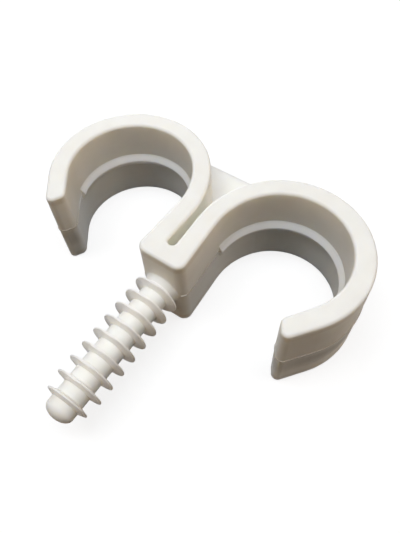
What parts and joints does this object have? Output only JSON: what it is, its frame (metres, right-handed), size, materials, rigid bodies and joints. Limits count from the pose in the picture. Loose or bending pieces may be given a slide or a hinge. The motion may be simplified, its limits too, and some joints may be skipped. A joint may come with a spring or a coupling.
{
  "type": "double pipe hook",
  "caption": "Moulded wall clip for pipes: open snap-in hooks side by side on a block, with a finned plug that pushes into a drilled hole.",
  "frame": {"origin": "the point where the plug's axis meets the wall, at mid-depth of the hooks", "axes": "+X across the two hooks, +Y out of the wall along the plug's axis towards the pipes, +Z along the pipes; the part lies on one of its flat sides"},
  "size_m": [0.0678, 0.0609, 0.0198],
  "materials": {
    "white_plastic": "satin moulded white, faintly warm"
  },
  "bodies": {
    "root": {"double_pipe_hook": "white_plastic"}
  },
  "joints": []
}
